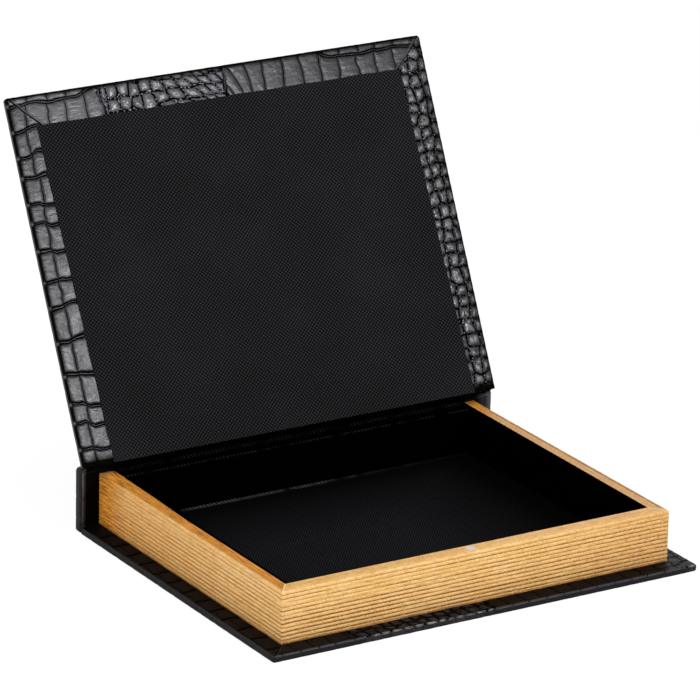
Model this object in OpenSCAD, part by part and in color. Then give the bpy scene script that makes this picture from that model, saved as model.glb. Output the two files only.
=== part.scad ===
// Book box: a keepsake box in the form of a bound book lying on its back
// cover. Three ribbed page-edge walls and a plain rear wall stand on the
// back cover, and the front cover is the lid, hinged along the spine.
// Right is +X, the spine is at +Y, and Z = 0 is the underside of the back
// cover, with the origin at its centre. The lid is drawn open.

/* [Page block] */
// Length of the page block, along the spine
block_w = 250; // [180:1:320]
// Depth of the page block, from the fore-edge to the spine
block_d = 200; // [150:1:260]
// Height of the page block above the back cover
block_h = 30.3; // [20:0.1:60]
// Thickness of the wooden core of a page-edge wall
core_t = 7.2; // [6.8:0.1:12]
// Thickness of the cloth-covered cards that line the tray
lining_t = 1; // [0.6:0.1:2]
// Thickness of the card under the floor cloth
floor_card_t = 1.5; // [1:0.1:3]
// Thickness of the cloth on the floor and over the rear wall
cloth_t = 0.5; // [0.3:0.1:1]
// Gap round the floor card
floor_gap = 0.2; // [0.1:0.1:1]

/* [Page edges] */
// Thickness of the moulded page-edge skin at the crest of a rib
edge_t = 1.2; // [1:0.1:2]
// Thickness of the skin where it lies over the rim
rim_t = 0.8; // [0.5:0.1:1.5]
// Distance from one groove to the next
rib_pitch = 2.38; // [1.8:0.02:3.6]
// Depth of a groove
rib_depth = 0.4; // [0.2:0.05:0.6]
// Height of the smooth lip above the first groove
lip_h = 2; // [1.8:0.1:4]
// Least height of the rib at the foot of a wall
foot_h = 1; // [0.5:0.1:3]
// Rounding of the outer edge of the rim
rim_r = 0.6; // [0.3:0.1:0.8]

/* [Covers] */
// Thickness of the boards of the two covers
board_t = 2.8; // [2:0.1:4]
// Thickness of the leather
leather_t = 0.6; // [0.4:0.1:1]
// How far the covers stand out past the page block at each end
side_square = 12.3; // [6:0.1:20]
// How far the covers stand out past the fore-edge
front_square = 12.4; // [6:0.1:20]
// Width of the leather turned in over a board's inner face
turn_in = 24; // [18:0.5:40]
// Gap between the turned-in leather and the card that fills its window
infill_gap = 0.3; // [0.2:0.1:1]
// Width of the mitre line where two turn-ins meet
mitre_gap = 0.2; // [0.1:0.05:0.4]
// Rounding of the covers' corners in plan
corner_r = 2; // [1.8:0.1:5]
// Rounding of the covers' edges
edge_r = 1.2; // [1.1:0.05:1.4]

/* [Spine] */
// Thickness of the spine's board
spine_board_t = 4.4; // [2.4:0.1:6]
// Height by which the closed lid's face stands above the spine board's leather
spine_drop = 0.6; // [0.4:0.1:1]

/* [Lid] */
// Angle that the lid opens to, from closed
open_angle = 116; // [95:1:125]
// Thickness of the woven panel that lines the lid
panel_t = 0.6; // [0.4:0.1:1]
// Gap between the closed lid's panel and the page block
close_gap = 0.3; // [0.3:0.1:1]
// Gap between the closed lid's rear edge and the spine
joint_gap = 0.4; // [0.3:0.1:1]
// Width of bare leather left of the panel, at its fore-edge end
panel_left = 15.7; // [10:0.1:17]
// Width of bare leather right of the panel, at its fore-edge end
panel_right = 18.2; // [14:0.1:18.2]
// Width of bare leather in front of the panel
panel_front = 17.9; // [10:0.1:18]
// How far the panel leans to the right towards the hinge
panel_lean = 3.8; // [0:0.1:4]

/* [Hinge] */
// Width of the hinge leather glued to the spine
hinge_on_spine = 2.6; // [1.5:0.1:3]
// Width of the hinge leather glued to the lid
hinge_on_lid = 4; // [2:0.1:8]
// Thickness of the inner hinge cloth
hinge_cloth_t = 0.4; // [0.3:0.1:0.6]
// Width of the hinge cloth glued to the top of the rear wall
cloth_on_wall = 4; // [2:0.1:4.2]
// Distance from the rear wall's outer face to the line where the cloth comes free
cloth_free = 5.4; // [4.4:0.1:5.6]
// Thickness of the glue between the hinge cloth and the lid's rear end
glue_t = 0.05; // [0.02:0.01:0.1]

/* [Magnet] */
// Radius of the magnet in the fore-edge wall
magnet_r = 3; // [2:0.1:3]
// Height of the magnet
magnet_h = 4; // [2:0.1:8]
// Distance of the magnet to the left of the middle
magnet_left = 2.5; // [0:0.5:60]
// Distance of the magnet's axis from the fore-edge
magnet_in = 5.4; // [4.4:0.1:5.4]
// Radius of the steel plate in the lid
plate_r = 6; // [4:0.1:8]
// Thickness of the steel plate
plate_t = 1; // [0.5:0.1:1.5]
// Clearance round the magnet and the plate
pocket_gap = 0.1; // [0.05:0.05:0.3]

/* [Hidden] */

$fn = 64;
leather_colour = "#1c1c1f";
cloth_colour = "#121214";
gilt_colour = "#d2a062";
board_colour = "#8f8878";
wood_colour = "#b99a6b";
steel_colour = "#c9cbd0";

// Covers and spine
cover_t = board_t + 2 * leather_t;
cover_w = block_w + 2 * side_square;
spine_t = spine_board_t + 2 * leather_t;
cover_d = front_square + block_d + spine_t;
front_y = -cover_d / 2;
fore_y = front_y + front_square;
rear_y = fore_y + block_d;
rim_z = cover_t + block_h;

// Lid, measured as if it were closed
lid_z = rim_z + close_gap + panel_t;
lid_top = lid_z + cover_t;
lid_rear = rear_y - joint_gap;
lid_d = lid_rear - front_y;
spine_top = lid_top - spine_drop;

// Walls, measured from the outer face of the page block
wall_t = edge_t + core_t + lining_t;
core_h = block_h - rim_t;
rear_h = block_h - cloth_t - hinge_cloth_t;
inner_w = block_w - 2 * wall_t;

// Ribs: each is part of a circle, and two circles meet in a groove
grooves = floor((block_h - lip_h - foot_h) / rib_pitch) + 1;
rib_r = (rib_pitch * rib_pitch / 4 + rib_depth * rib_depth) / (2 * rib_depth);
foot_z = block_h - lip_h - (grooves - 1) * rib_pitch;

// A cut runs this far past the faces that it opens
past = 1;
// A cut through the leather runs this far into the board's own space
into = 0.2;

// Rectangle with round corners
module round_rect(w, h, r) {
  translate([r, 0]) square([w - 2 * r, h]);
  translate([0, r]) square([w, h - 2 * r]);
  for (x = [r, w - r], y = [r, h - r]) translate([x, y]) circle(r = r);
}

// Board or leather slab, rounded along its edges and at its corners
module slab(w, d, t, er, cr) {
  intersection() {
    translate([-w / 2, 0, 0]) linear_extrude(t) round_rect(w, d, cr);
    translate([-w / 2, 0, 0]) rotate([90, 0, 90]) linear_extrude(w) round_rect(d, t, er);
    translate([-w / 2, d, 0]) rotate([90, 0, 0]) linear_extrude(d) round_rect(w, t, er);
  }
}

// Plan outline of one mitred wall, in the block's own corner frame
module wall_plan(run, rear_mitre) {
  polygon([[0, 0], [run, 0], [run - (rear_mitre ? wall_t : 0), wall_t], [wall_t, wall_t]]);
}

// Wall of the given section along X, mitred at its start and, if asked, at its end
module wall(run, rear_mitre) {
  intersection() {
    linear_extrude(block_h) wall_plan(run, rear_mitre);
    rotate([90, 0, 90]) linear_extrude(run) children();
  }
}

module at_fore() {
  translate([-block_w / 2, fore_y, cover_t]) children();
}

module at_left() {
  translate([-block_w / 2, fore_y, cover_t]) mirror([1, -1, 0]) children();
}

module at_right() {
  translate([block_w / 2, fore_y, cover_t]) rotate([0, 0, 90]) children();
}

// One rib's circle, with its groove line at the height z and its crest at 0
module rib(z) {
  translate([rib_r, z]) circle(r = rib_r, $fn = 96);
}

// Section of the page-edge skin: ribs outside, a flat flange over the rim
module edge_section() {
  difference() {
    union() {
      translate([rib_depth, 0]) square([edge_t - rib_depth, block_h]);
      translate([rib_depth, core_h]) square([wall_t - rib_depth, rim_t]);
      intersection() {
        square([edge_t, block_h]);
        union() {
          for (i = [0:grooves - 2]) rib(foot_z + (i + 0.5) * rib_pitch);
          rib(foot_z - rib_pitch / 2);
          square([edge_t, max(foot_z - rib_pitch / 2, 0.01)]);
          rib(block_h - lip_h + rib_pitch / 2);
          translate([0, block_h - lip_h + rib_pitch / 2]) square([edge_t, lip_h]);
        }
      }
    }
    translate([0, block_h]) difference() {
      translate([-past, -rim_r]) square([past + rim_r, past + rim_r]);
      translate([rim_r, -rim_r]) circle(r = rim_r);
    }
  }
}

module core_section() {
  translate([edge_t, 0]) square([core_t, core_h]);
}

module lining_section() {
  translate([edge_t + core_t, 0]) square([lining_t, core_h]);
}

// Pocket for the magnet, from the rim down
module magnet_pocket(clearance) {
  translate([-magnet_left, fore_y + magnet_in, rim_z - magnet_h - clearance])
    cylinder(r = magnet_r + clearance, h = magnet_h + past);
}

module fore_core() {
  color(wood_colour) difference() {
    at_fore() wall(block_w, true) core_section();
    magnet_pocket(pocket_gap);
  }
}

module left_core() {
  color(wood_colour) at_left() wall(block_d, false) core_section();
}

module right_core() {
  color(wood_colour) at_right() wall(block_d, false) core_section();
}

module fore_edge() {
  color(gilt_colour) difference() {
    at_fore() wall(block_w, true) edge_section();
    magnet_pocket(pocket_gap);
  }
}

module left_edge() {
  color(gilt_colour) at_left() wall(block_d, false) edge_section();
}

module right_edge() {
  color(gilt_colour) at_right() wall(block_d, false) edge_section();
}

module fore_lining() {
  color(cloth_colour) at_fore() wall(block_w, true) lining_section();
}

module left_lining() {
  color(cloth_colour) at_left() wall(block_d, false) lining_section();
}

module right_lining() {
  color(cloth_colour) at_right() wall(block_d, false) lining_section();
}

// Plain wall against the spine, between the lined side walls
module rear_wall() {
  color(wood_colour) translate([-inner_w / 2, rear_y - wall_t + lining_t, cover_t])
    cube([inner_w, wall_t - lining_t, rear_h]);
}

// Cloth down the rear wall's inner face and over its top
module rear_lining() {
  color(cloth_colour) translate([-inner_w / 2, rear_y - wall_t, cover_t]) {
    cube([inner_w, lining_t, rear_h + cloth_t]);
    translate([0, 0, rear_h]) cube([inner_w, wall_t, cloth_t]);
  }
}

// Floor of the tray, clear of the linings all round
module floor_sheet(z, t) {
  translate([-inner_w / 2 + floor_gap, fore_y + wall_t + floor_gap, cover_t + z])
    cube([inner_w - 2 * floor_gap, block_d - 2 * wall_t - 2 * floor_gap, t]);
}

module floor_card() {
  color(board_colour) floor_sheet(0, floor_card_t);
}

module floor_cloth() {
  color(cloth_colour) floor_sheet(floor_card_t, cloth_t);
}

module tray_magnet() {
  color(steel_colour) translate([-magnet_left, fore_y + magnet_in, rim_z - magnet_h])
    cylinder(r = magnet_r, h = magnet_h);
}

// Window that the turned-in leather leaves on a board's inner face
module window(d, open_rear, gap, t) {
  w = cover_w - 2 * turn_in - 2 * gap;
  run = open_rear ? d - turn_in - gap : d - 2 * turn_in - 2 * gap;
  translate([-w / 2, turn_in + gap, 0]) cube([w, run, t]);
}

// Mitre lines of the two front corners, cut into the turned-in leather and on into its window
module mitre_lines(depth) {
  run = (turn_in - corner_r) * sqrt(2) + past;
  for (side = [-1, 1])
    translate([side * (cover_w / 2 - corner_r), corner_r, 0])
      rotate([0, 0, side > 0 ? 135 : 45])
        translate([0, -mitre_gap / 2, 0]) cube([run, mitre_gap, depth]);
}

// Back cover
module back_board() {
  color(board_colour) translate([0, front_y + leather_t, leather_t])
    slab(cover_w - 2 * leather_t, cover_d - spine_t - 2 * leather_t, board_t,
      edge_r - leather_t, corner_r - leather_t);
}

module back_infill() {
  color(board_colour) translate([0, front_y, cover_t - leather_t])
    window(cover_d - spine_t, false, infill_gap, leather_t);
}

module back_leather() {
  color(leather_colour) difference() {
    translate([0, front_y, 0]) slab(cover_w, cover_d - spine_t, cover_t, edge_r, corner_r);
    back_board();
    translate([0, front_y, cover_t - leather_t - into]) {
      window(cover_d - spine_t, false, 0, leather_t + past);
      mitre_lines(leather_t + past);
    }
  }
}

// Spine, standing behind the back cover and the rear wall
module spine_slab(inset) {
  translate([0, rear_y + spine_t - inset, inset]) rotate([90, 0, 0])
    slab(cover_w - 2 * inset, spine_top - 2 * inset, spine_t - 2 * inset,
      edge_r - inset, corner_r - inset);
}

module spine_window(gap, t, deeper) {
  translate([-cover_w / 2 + turn_in + gap, rear_y + leather_t + deeper - t, cover_t + gap])
    cube([cover_w - 2 * turn_in - 2 * gap, t, block_h - 2 * gap]);
}

module spine_board() {
  color(board_colour) spine_slab(leather_t);
}

module spine_infill() {
  color(board_colour) spine_window(infill_gap, leather_t, 0);
}

module spine_leather() {
  color(leather_colour) difference() {
    spine_slab(0);
    spine_slab(leather_t);
    spine_window(0, leather_t + past, into);
  }
}

// Everything on the lid is placed as if closed, then turned open about the pivot
module opened() {
  translate([0, lid_rear, lid_top]) rotate([-open_angle, 0, 0])
    translate([0, -lid_rear, -lid_top]) children();
}

// Lid slab: its rear end is cut square, a given distance past the hinge edge
module lid_slab(inset, z, t, over) {
  difference() {
    translate([0, front_y + inset, z])
      slab(cover_w - 2 * inset, lid_d + 4 * corner_r, t, edge_r - inset, corner_r - inset);
    translate([-cover_w / 2 - past, lid_rear + over, z - past])
      cube([cover_w + 2 * past, 5 * corner_r, t + 2 * past]);
  }
}

// Pocket for the steel plate, over the magnet when the lid is closed
module plate_pocket(clearance, t) {
  translate([-magnet_left, fore_y + magnet_in, lid_z + leather_t])
    cylinder(r = plate_r + clearance, h = t);
}

module board_of_lid(over) {
  lid_slab(leather_t, lid_z + leather_t, board_t, over);
}

module lid_board() {
  color(board_colour) opened() difference() {
    board_of_lid(0);
    translate([0, 0, -past]) plate_pocket(pocket_gap, plate_t + pocket_gap + past);
  }
}

module lid_plate() {
  color(steel_colour) opened() plate_pocket(0, plate_t);
}

module lid_infill() {
  color(board_colour) opened() translate([0, front_y, lid_z])
    window(lid_d, true, infill_gap, leather_t);
}

module lid_leather() {
  color(leather_colour) opened() difference() {
    lid_slab(0, lid_z, cover_t, 0);
    board_of_lid(past);
    translate([0, front_y, lid_z - past]) {
      window(lid_d + past, true, 0, leather_t + past + into);
      mitre_lines(leather_t + past + into);
    }
    translate([-cover_w / 2 + edge_r, lid_rear - hinge_on_lid, lid_top - leather_t - into])
      cube([cover_w - 2 * edge_r, hinge_on_lid + past, leather_t + past]);
  }
}

// Woven panel, glued in a little askew
module lid_panel() {
  left = -cover_w / 2 + panel_left;
  right = cover_w / 2 - panel_right;
  color(cloth_colour) opened() translate([0, 0, lid_z - panel_t]) linear_extrude(panel_t)
    polygon([
      [left, front_y + panel_front],
      [right, front_y + panel_front],
      [right + panel_lean, lid_rear],
      [left + panel_lean, lid_rear]
    ]);
}

// Outer hinge: leather glued to the spine's top and to the lid, folded at the pivot
module hinge_leather() {
  run = rear_y + edge_r + hinge_on_spine - lid_rear;
  color(leather_colour) translate([-cover_w / 2 + edge_r, lid_rear, lid_top])
    rotate([90, 0, 90]) linear_extrude(cover_w - 2 * edge_r) {
      difference() {
        circle(r = leather_t);
        square([leather_t + past, leather_t + past]);
        rotate(180 - open_angle) square([leather_t + past, leather_t + past]);
      }
      translate([0, -leather_t]) square([run, leather_t]);
      rotate(180 - open_angle) square([hinge_on_lid, leather_t]);
    }
}

// Inner hinge: cloth on the rear wall's top, up to the lid and over its rear end
module hinge_cloth() {
  c = cos(open_angle);
  s = sin(open_angle);
  depth = lid_top - lid_z + panel_t;
  free_y = rear_y - cloth_free;
  corner = [lid_rear - depth * s, lid_top - depth * c];
  outer = [lid_rear - leather_t * s, lid_top - leather_t * c];
  near = [glue_t * c, -glue_t * s];
  far = near + [hinge_cloth_t * c, -hinge_cloth_t * s];
  color(cloth_colour) translate([-inner_w / 2 + floor_gap, 0, 0])
    rotate([90, 0, 90]) linear_extrude(inner_w - 2 * floor_gap) union() {
      translate([free_y - cloth_on_wall, rim_z - hinge_cloth_t])
        square([cloth_on_wall + hinge_cloth_t, hinge_cloth_t]);
      polygon([
        [free_y, rim_z - hinge_cloth_t],
        [free_y + hinge_cloth_t, rim_z - hinge_cloth_t],
        corner + far + [hinge_cloth_t, 0],
        corner + far
      ]);
      polygon([corner + near, corner + far, outer + far, outer + near]);
    }
}

back_board();
back_infill();
back_leather();
spine_board();
spine_infill();
spine_leather();
fore_core();
left_core();
right_core();
rear_wall();
fore_edge();
left_edge();
right_edge();
fore_lining();
left_lining();
right_lining();
rear_lining();
floor_card();
floor_cloth();
tray_magnet();
hinge_leather();
hinge_cloth();
lid_board();
lid_infill();
lid_leather();
lid_panel();
lid_plate();
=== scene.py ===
"""Book box: crocodile-embossed covers, ribbed gilt page edges and a cloth-lined tray."""

import math

import bpy
import numpy as np
from mathutils import Matrix, Vector, noise


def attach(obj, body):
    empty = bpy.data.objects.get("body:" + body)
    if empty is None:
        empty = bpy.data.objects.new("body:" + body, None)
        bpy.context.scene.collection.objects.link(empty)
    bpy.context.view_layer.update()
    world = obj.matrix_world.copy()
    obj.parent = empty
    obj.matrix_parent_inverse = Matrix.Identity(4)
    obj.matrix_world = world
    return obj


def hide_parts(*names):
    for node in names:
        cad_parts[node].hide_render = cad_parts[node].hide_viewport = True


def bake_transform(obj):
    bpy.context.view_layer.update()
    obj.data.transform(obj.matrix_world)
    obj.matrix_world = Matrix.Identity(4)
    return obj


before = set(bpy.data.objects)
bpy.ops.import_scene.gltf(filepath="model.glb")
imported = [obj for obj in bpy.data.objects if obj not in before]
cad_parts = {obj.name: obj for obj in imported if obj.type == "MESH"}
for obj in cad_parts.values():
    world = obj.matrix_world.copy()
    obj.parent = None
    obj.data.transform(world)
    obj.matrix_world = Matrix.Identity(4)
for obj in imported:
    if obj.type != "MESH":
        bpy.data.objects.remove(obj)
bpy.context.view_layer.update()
bpy.ops.object.select_all(action="DESELECT")

MM, TO_MM = 0.001, 1000.0
CIRCLE = 6.28318

# Sizes in millimetres, as the solids have them
COVER_W, COVER_T, EDGE_R = 274.6, 4.0, 1.2
FRONT_Y, FORE_Y, REAR_Y, BACK_Y = -109.0, -96.6, 103.4, 109.0
BASE_D, LID_D = REAR_Y - FRONT_Y, 212.0
BLOCK_W, BLOCK_D, BLOCK_H, WALL_T = 250.0, 200.0, 30.3, 9.4
RIM_Z = COVER_T + BLOCK_H
INNER_X, INNER_FORE_Y, INNER_REAR_Y = BLOCK_W / 2 - WALL_T, FORE_Y + WALL_T, REAR_Y - WALL_T
SPINE_TOP, SPINE_T = 38.6, 5.6
TURN_IN = 24.0
RIB_PITCH, RIB_DEPTH, LIP_H, GROOVES = 2.38, 0.4, 2.0, 12
PANEL_T = 0.6
MAGNET_OFF, MAGNET_IN = 2.5, 5.1

# The lid stands open at this angle round the pivot: up and in are its own directions there
OPEN = math.radians(116)
PIVOT = np.array([0, 103.0, 39.2])
LID_UP = np.array([0, -math.cos(OPEN), math.sin(OPEN)])
LID_IN = np.array([0, -math.sin(OPEN), -math.cos(OPEN)])

# Share of a side wall's top that the gilt skin laps, at places along the wall
LEFT_LAP, RIGHT_LAP = ((0, 50, 86, 200), (1.0, 0.91, 0.79, 0.8)), ((0, 200), (0.84, 0.73))

# Width and length of a broad belly scale and of a small round one, in mm on the leather
BELLY, PEBBLE = (11.2, 15.2), (6.6, 7.0)
# What the attribute small says far inside the belly scales, and far inside the small ones
ALL_BELLY, ALL_SMALL = -12.0, 12.0
# How deep the scales are pressed, in mm: outside, in the flaps, and inside the spine
OUTSIDE, FLAPS, SPINE_INSIDE = 0.34, 0.36, 0.3
# Distances of the close grid lines at a face's rounded edge, and the radius of its outline
CLOSE_LINES, OUTLINE_R = (0.0, 0.27, 0.53, 0.8), 0.8
# Spacing of a flap's grid, and how far a lower flap runs on under the upper one
FLAP_GRID, TUCKED = 2.4, 2.9


# ---- node trees
class Wire:
    """A socket of a node tree that can be reckoned with."""

    def __init__(self, tree, socket):
        self.tree, self.socket = tree, socket

    def do(self, operation, *others, clamp=False):
        settings = {"operation": operation, "use_clamp": clamp}
        return self.tree.add("ShaderNodeMath", settings, dict(enumerate((self,) + others)))

    def __add__(self, other): return self.do("ADD", other)
    def __mul__(self, other): return self.do("MULTIPLY", other)
    def __sub__(self, other): return self.do("SUBTRACT", other)
    def __truediv__(self, other): return self.do("DIVIDE", other)
    def __abs__(self): return self.do("ABSOLUTE")
    __radd__, __rmul__ = __add__, __mul__

    def __rsub__(self, other):
        return self.tree.add("ShaderNodeMath", {"operation": "SUBTRACT"}, {0: other, 1: self})

    def floor(self): return self.do("FLOOR")
    def frac(self): return self.do("FRACT")
    def sine(self): return self.do("SINE")
    def cosine(self): return self.do("COSINE")
    def least(self, other): return self.do("MINIMUM", other)
    def most(self, other): return self.do("MAXIMUM", other)
    def clip(self): return self.do("ADD", 0.0, clamp=True)

    def step(self, low, high):
        """0 below low and 1 above high, smooth between."""
        return self.tree.add("ShaderNodeMapRange", {"interpolation_type": "SMOOTHSTEP"}, {
            "Value": self, "From Min": low, "From Max": high, "To Min": 0.0, "To Max": 1.0})


class Tree:
    """Adds nodes to a tree."""

    def __init__(self, tree):
        self.tree = tree

    def add(self, kind, settings=None, inputs=None, out=0):
        node = self.tree.nodes.new(kind)
        for name, value in (settings or {}).items():
            setattr(node, name, value)
        for name, value in (inputs or {}).items():
            socket = node.inputs[name]
            if isinstance(value, Wire):
                self.tree.links.new(value.socket, socket)
            else:
                socket.default_value = value
        return Wire(self, node.outputs[out]) if len(node.outputs) else node

    def split(self, vector):
        first = self.add("ShaderNodeSeparateXYZ", None, {0: vector})
        return [Wire(self, s) for s in first.socket.node.outputs]

    def join(self, x, y, z=0.0):
        return self.add("ShaderNodeCombineXYZ", None, {0: x, 1: y, 2: z})

    def times(self, vector, factors):
        return self.add("ShaderNodeVectorMath", {"operation": "MULTIPLY"}, {0: vector, 1: factors})

    def along(self, vector, direction):
        """How far a place lies in a direction."""
        return self.add("ShaderNodeVectorMath", {"operation": "DOT_PRODUCT"},
                        {0: vector, 1: direction}, "Value")

    def place(self):
        """The place on the object, in metres."""
        return self.add("ShaderNodeTexCoord", None, None, "Object")

    def place_mm(self):
        return self.times(self.place(), (TO_MM,) * 3)

    def attribute(self, name, out="Fac"):
        return self.add("ShaderNodeAttribute", {"attribute_name": name}, None, out)

    def cloud(self, vector, scale, detail=2.0, rough=0.5):
        """Noise round 0.5."""
        return self.add("ShaderNodeTexNoise", {"noise_dimensions": "3D"}, {
            "Vector": vector, "Scale": scale, "Detail": detail, "Roughness": rough})

    def cells(self, vector, scale, stray, feature, out=0):
        """Voronoi cells on a flat sheet."""
        return self.add("ShaderNodeTexVoronoi", {"voronoi_dimensions": "2D", "feature": feature}, {
            "Vector": vector, "Scale": scale, "Randomness": stray}, out)

    def mix(self, factor, a, b):
        """Colour between a and b."""
        return self.add("ShaderNodeMix", {"data_type": "RGBA"}, {0: factor, 6: a, 7: b}, 2)

    def bump(self, height, distance, strength=1.0, **under):
        """Fine relief, on top of another where Normal gives one."""
        return self.add("ShaderNodeBump", None, {
            "Height": height, "Distance": distance, "Strength": strength, **under})

    def surface(self, color, roughness, normal, specular=0.5, metallic=0.0):
        return self.add("ShaderNodeBsdfPrincipled", None, {
            "Base Color": color, "Roughness": roughness, "Normal": normal,
            "Specular IOR Level": specular, "Metallic": metallic})


def rgb(r, g, b):
    """Colour as written, from 0 to 255, made linear."""
    return tuple(((c / 255 + 0.055) / 1.055) ** 2.4 if c > 10 else c / 255 / 12.92
                 for c in (r, g, b)) + (1.0,)


def empty_tree(owner):
    owner.use_nodes = True
    owner.node_tree.nodes.clear()
    return Tree(owner.node_tree)


def material(name, surface, *values):
    """A new material with the surface that a function lays out in its tree."""
    m = bpy.data.materials.new(name)
    t = empty_tree(m)
    t.add("ShaderNodeOutputMaterial", None, {"Surface": surface(t, *values)})
    return m


# ---- embossed leather
def scales(t, sheet, small, soft):
    """Height of the embossing, from 0 in a groove to 1 on a scale.

    sheet is the place on the leather in mm, and its third number says how freely the rows
    wander. small is above 0 where the scales are small and round, and below 0 where they are
    the broad ones of the belly. soft widens the grooves. The lengths below are in mm too.
    """
    x, y, free = t.split(sheet)
    flat = t.join(x, y)
    drift = (t.cloud(flat, 0.036, 1.0) - 0.5) * free
    sway = t.cloud(flat, 0.1, 2.0) - 0.5
    # broad scales: a ridged fold between their rows, and a narrower crease between columns
    rows = (y + drift * 16.0 + sway * 4.0) / BELLY[1]
    shift = t.add("ShaderNodeTexWhiteNoise", {"noise_dimensions": "1D"}, {"W": rows.floor()}) - 0.5
    columns = (x + sway * 4.0 + shift * (1.5 + free * 5.0)) / BELLY[0]
    to_row = (0.5 - abs(rows.frac() - 0.5)) * BELLY[1]
    to_column = (0.5 - abs(columns.frac() - 0.5)) * BELLY[0]
    fold = 1.0 - to_row.step(0.5, 1.4 + soft)
    ridge = 1.0 - to_row.step(0.1, 0.62)
    crease = 1.0 - to_column.step(0.05, 0.42 + soft)
    belly = 1.0 - (fold - ridge * 0.66).most(crease * 0.76)
    crown = (to_row / 5.0).least(to_column / 4.0).clip().do("POWER", 0.6)
    belly = belly * (0.72 + crown * 0.28)
    # small scales: rounded cells, with a domed middle
    warped = t.join(x / PEBBLE[0] + drift * 1.2, y / PEBBLE[1] + sway * 0.7)
    stray = 0.25 + free * 0.35
    edge = t.cells(warped, 1.0, stray, "DISTANCE_TO_EDGE")
    middle = t.cells(warped, 1.0, stray, "F1", "Distance")
    gap = edge.least(free * 0.11 + 0.575 - middle) * PEBBLE[0]
    pebble = gap.step(0.08, 0.85 + soft) * 0.64 + gap.step(0.3, 2.6) * 0.36
    # a groove runs between the two kinds
    border = small + sway * (7.0 + free * 7.0)
    height = belly + (pebble - belly) * border.step(-0.5, 0.5)
    return height.least(0.1 + 0.9 * abs(border).step(0.15, 1.0 + soft))


def emboss(piece, depth):
    """Presses the scales into a piece's mesh, along its normals."""
    group = bpy.data.node_groups.new("embossing", "GeometryNodeTree")
    for way in ("INPUT", "OUTPUT"):
        group.interface.new_socket("Geometry", in_out=way, socket_type="NodeSocketGeometry")
    t = Tree(group)
    start = t.add("NodeGroupInput")
    sheet, small, press = (
        t.add("GeometryNodeInputNamedAttribute", {"data_type": kind}, {"Name": name})
        for name, kind in (("sheet", "FLOAT_VECTOR"), ("small", "FLOAT"), ("press", "FLOAT")))
    down = (scales(t, sheet, small, 0.5) - 1.0) * press * (depth * MM)
    offset = t.add("ShaderNodeVectorMath", {"operation": "SCALE"}, {
        0: t.add("GeometryNodeInputNormal"), "Scale": down})
    t.add("NodeGroupOutput", None, {0: t.add("GeometryNodeSetPosition", None, {
        "Geometry": start, "Offset": offset})})
    modifier = piece.modifiers.new("embossing", "NODES")
    modifier.node_group = group
    apply(piece, modifier)
    bpy.data.node_groups.remove(group)


def leather_surface(t):
    groove, scale, highlight_grey, pale_grey = rgb(3, 3, 3), rgb(20, 20, 30), rgb(112, 112, 118), rgb(93, 92, 97)
    black, brown, cut = rgb(1, 1, 1), rgb(12, 9, 5), rgb(128, 118, 106)
    sheet = t.attribute("sheet", "Vector")
    small, press, sheltered, seam, rubbed = (
        t.attribute(name) for name in ("small", "press", "sheltered", "seam", "worn"))
    # the small scales are glossier and lumpier than the broad ones, with little beads between
    little = small.step(0.0, 1.5)
    bead = t.cells(sheet, 0.6, 0.9, "F1", "Distance")
    pattern = scales(t, sheet, small, 0.0).most(little * (0.45 - bead).step(0.0, 0.2) * 0.5)
    height = 1.0 - (1.0 - pattern) * press
    # seam is 3 less the distance to a mitre's edge in mm: above 0 on the flap below that edge,
    # which has a painted shadow there, and below 0 on the one above it, where the cut edge is
    # lighter
    uneven = (t.cloud(sheet, 0.25, 2.0) - 0.5) * 0.8
    height = height.least((3.0 - seam + uneven).step(0.1, 1.0))
    lip = (1.0 - (3.0 + seam + uneven).step(0.2, 0.9)) * (1.0 - sheltered) * 0.4
    worn = rubbed * (pattern.step(0.1, 0.6) * 0.8 + 0.2)
    grain = t.cloud(sheet, 0.8, 1.0, 0.5)
    haze = t.cloud(sheet, 0.13, 2.0)
    crinkle = t.cloud(t.times(sheet, (0.4, 1.0, 1.0)), 0.42, 2.0, 0.55)
    lump = t.cloud(sheet, 0.3, 1.0, 0.5)
    relief = t.bump(grain * (0.3 + little * 0.6) + crinkle, 0.22 * MM, 0.9,
                    Normal=t.bump(height, 0.6 * MM))
    # painted highlight: the tops of the small scales are coloured lighter in spots
    highlight_spots = ((lump - 0.5) * 3.0 + (grain - 0.5) * 1.4 + 0.52).clip()
    highlight_spots = little * press * height.step(0.55, 1.0) * highlight_spots
    # painted shade: the grooves are coloured near black, darker than the scales' tops
    color = t.mix(highlight_spots, t.mix(height, groove, scale), highlight_grey)
    # painted highlight: pale grey where worn says, on the edges, the fold bunches, the front flap
    # and the spine's ends
    shiny = t.surface(t.mix((lip * 0.3).most(worn), color, pale_grey),
                      0.34 - little * 0.11 + (haze - 0.5) * 0.3 + (grain - 0.5) * 0.2,
                      relief, specular=0.42)
    # painted shade: a dull black copy of the leather, without reflections, is mixed in down in the
    # grooves and where sheltered says; its brown flecks are a painted reflection of the gilt
    painted_shade = t.surface(t.mix(lip, t.mix(grain, black, brown), cut),
                     0.8 + (haze - 0.5) * 0.2, relief, specular=0.0)
    gloss = height.step(0.15, 0.7) * (0.97 - sheltered)
    return t.add("ShaderNodeMixShader", None, {0: gloss, 1: painted_shade, 2: shiny})


# ---- modelling
def pick(piece):
    """Selects a piece alone."""
    select_none()
    bpy.context.view_layer.objects.active = piece
    piece.select_set(True)


def apply(piece, modifier):
    pick(piece)
    bpy.ops.object.modifier_apply(modifier=modifier.name)


def places(piece):
    co = np.empty(len(piece.data.vertices) * 3)
    piece.data.vertices.foreach_get("co", co)
    return co.reshape(-1, 3)


def put(piece, co):
    piece.data.vertices.foreach_set("co", np.asarray(co, float).ravel())
    piece.data.update()


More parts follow.
